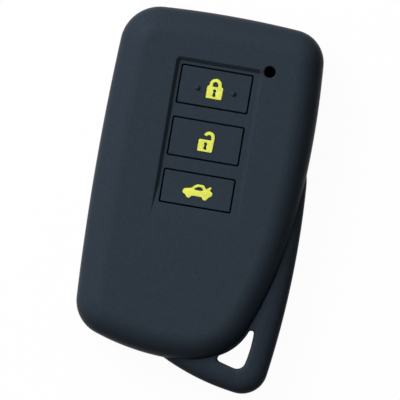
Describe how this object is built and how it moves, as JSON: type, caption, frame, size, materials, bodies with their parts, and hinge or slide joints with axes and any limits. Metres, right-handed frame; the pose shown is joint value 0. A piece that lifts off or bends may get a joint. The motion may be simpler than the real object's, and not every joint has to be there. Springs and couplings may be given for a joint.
{
  "type": "key fob cover",
  "caption": "Soft moulded sleeve for a car key fob, with press pads on thin webs, filled symbols, an open back and a ring corner.",
  "frame": {"origin": "middle of the cover's outline, on the plane of the back rim that it lies on", "axes": "+Z out of the front face with the pads, +Y towards the top end, +X to the right as the front is seen"},
  "size_m": [0.046, 0.08, 0.016],
  "materials": {
    "silicone": "matte",
    "pad_silicone": "matte",
    "web_silicone": "matte",
    "symbol_filling": "satin"
  },
  "bodies": {
    "cover": {"cover_shell": "silicone", "lock_web": "web_silicone", "unlock_web": "web_silicone", "trunk_web": "web_silicone"},
    "lock_pad": {"lock_button": "pad_silicone", "lock_icon": "symbol_filling"},
    "unlock_pad": {"unlock_button": "pad_silicone", "unlock_icon": "symbol_filling"},
    "trunk_pad": {"trunk_button": "pad_silicone", "trunk_icon": "symbol_filling"}
  },
  "joints": [
    {"name": "lock_press", "type": "slide", "parent": "cover", "child": "lock_pad", "axis": [0, 0, -1], "range_m": [0, 0.0008], "stiffness_N_per_m": 1200, "deforming": ["lock_web"]},
    {"name": "unlock_press", "type": "slide", "parent": "cover", "child": "unlock_pad", "axis": [0, 0, -1], "range_m": [0, 0.0008], "stiffness_N_per_m": 1200, "deforming": ["unlock_web"]},
    {"name": "trunk_press", "type": "slide", "parent": "cover", "child": "trunk_pad", "axis": [0, 0, -1], "range_m": [0, 0.0008], "stiffness_N_per_m": 1200, "deforming": ["trunk_web"]}
  ]
}
